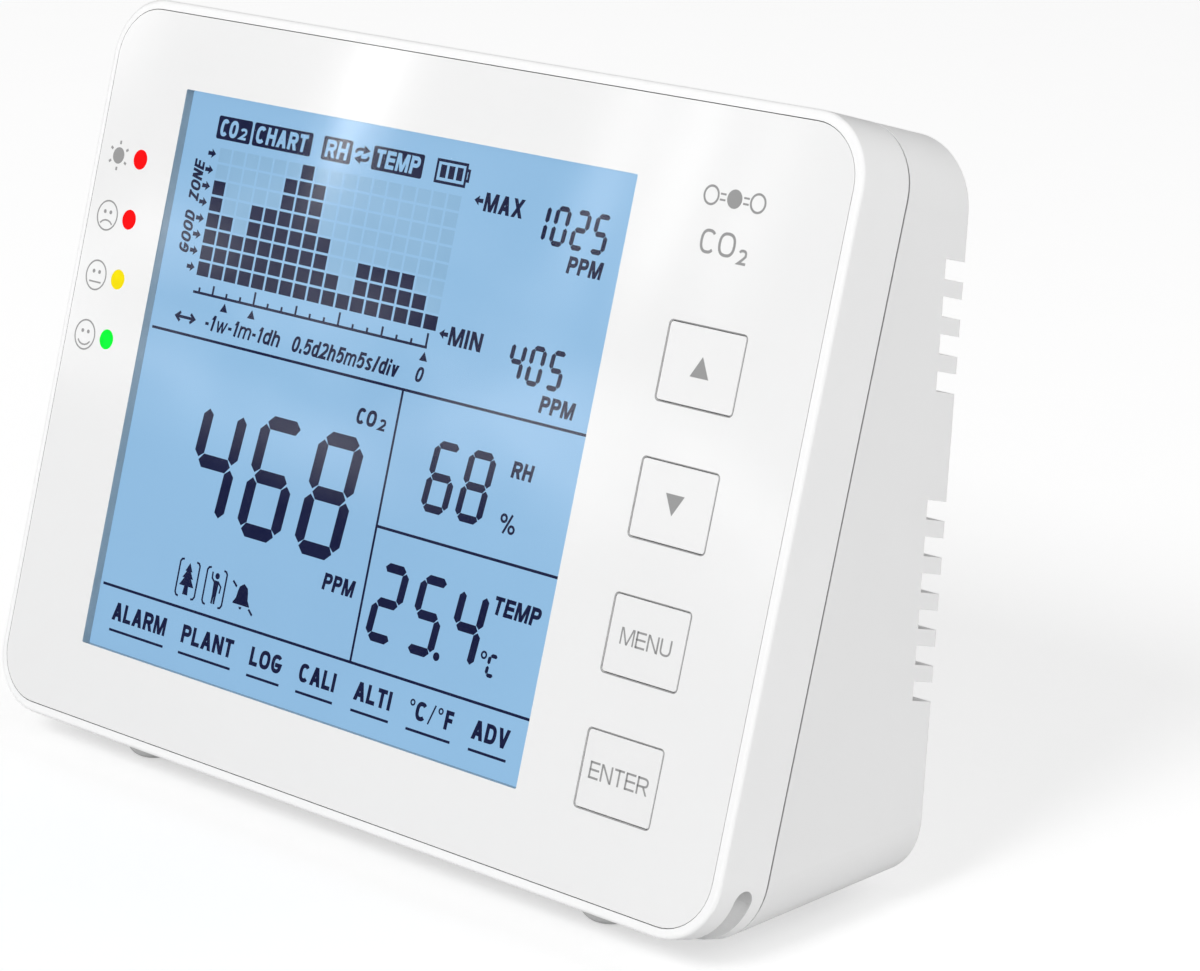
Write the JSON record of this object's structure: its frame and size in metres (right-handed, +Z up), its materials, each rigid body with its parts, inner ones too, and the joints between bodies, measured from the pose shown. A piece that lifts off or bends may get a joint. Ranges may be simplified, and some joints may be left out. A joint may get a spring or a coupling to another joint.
{
  "type": "carbon dioxide monitor",
  "caption": "Desktop carbon dioxide monitor: leaning white wedge case with a large backlit segment display, a column of push keys, indicator lights, side vents and a hinged battery door.",
  "frame": {"origin": "centre of the bounding box in plan, on the plane the feet stand on", "axes": "+Z up, +X to the viewer's right along the front face, -Y out of the front face, which leans back 16 degrees"},
  "size_m": [0.12, 0.0419, 0.0906],
  "materials": {
    "bezel_white": "satin white moulding",
    "housing_white": "fine satin white moulding",
    "panel_white": "glossy white panel with grey printing",
    "clear_pane": "clear acrylic",
    "display_blue": "backlit pale blue liquid crystal display",
    "guide_clear": "clear acrylic light guide",
    "reflector": "mirror film",
    "carrier_white": "white moulding",
    "strip_rubber": "layered silicone",
    "board_green": "green solder mask",
    "switch_black": "moulded",
    "lens_green": "clear tinted, lit",
    "lens_yellow": "clear tinted, lit",
    "lens_red": "clear tinted, lit",
    "led_white": "moulded",
    "chip_black": "moulded epoxy",
    "buzzer_black": "moulded",
    "plated_metal": "plated",
    "header_black": "moulded",
    "sensor_gold": "gold plated",
    "membrane": "white filter sheet",
    "cell_jacket": "printed jacket",
    "contact_metal": "nickel plated",
    "screw_steel": "zinc plated",
    "foot_rubber": "pale translucent silicone rubber",
    "key_white": "glossy white key cap with grey printing"
  },
  "bodies": {
    "case": {"front_bezel": "bezel_white", "rear_housing": "housing_white", "front_panel": "panel_white", "display_window": "clear_pane", "display_glass": "display_blue", "light_guide": "guide_clear", "light_reflector": "reflector", "display_carrier": "carrier_white", "contact_strip": "strip_rubber", "main_board": "board_green", "key_switches": "switch_black", "lens_green": "lens_green", "lens_yellow": "lens_yellow", "lens_red_low": "lens_red", "lens_red_high": "lens_red", "indicator_leds": "led_white", "controller_chip": "chip_black", "buzzer": "buzzer_black", "power_socket": "plated_metal", "sensor_board": "board_green", "sensor_headers": "header_black", "sensor_cover": "sensor_gold", "gas_membrane": "membrane", "infrared_lamp": "plated_metal", "infrared_detector": "plated_metal", "humidity_sensor": "chip_black", "battery_cells": "cell_jacket", "contact_plates": "contact_metal", "battery_springs": "contact_metal", "case_screws": "screw_steel", "front_feet": "foot_rubber", "rear_feet": "foot_rubber"},
    "battery_hatch": {"battery_door": "housing_white"},
    "key_enter_button": {"key_enter": "key_white", "switch_stem_enter": "switch_black"},
    "key_menu_button": {"key_menu": "key_white", "switch_stem_menu": "switch_black"},
    "key_down_button": {"key_down": "key_white", "switch_stem_down": "switch_black"},
    "key_up_button": {"key_up": "key_white", "switch_stem_up": "switch_black"}
  },
  "joints": [
    {"name": "battery_hatch_hinge", "type": "hinge", "parent": "case", "child": "battery_hatch", "pos_m": [0, 0.0146, 0.00792], "axis": [-1, 0, 0], "range_deg": [0, 85]},
    {"name": "key_enter_press", "type": "slide", "parent": "case", "child": "key_enter_button", "axis": [0, 0.9613, -0.2756], "range_m": [0, 0.0006], "stiffness_N_per_m": 400},
    {"name": "key_menu_press", "type": "slide", "parent": "case", "child": "key_menu_button", "axis": [0, 0.9613, -0.2756], "range_m": [0, 0.0006], "stiffness_N_per_m": 400},
    {"name": "key_down_press", "type": "slide", "parent": "case", "child": "key_down_button", "axis": [0, 0.9613, -0.2756], "range_m": [0, 0.0006], "stiffness_N_per_m": 400},
    {"name": "key_up_press", "type": "slide", "parent": "case", "child": "key_up_button", "axis": [0, 0.9613, -0.2756], "range_m": [0, 0.0006], "stiffness_N_per_m": 400}
  ]
}
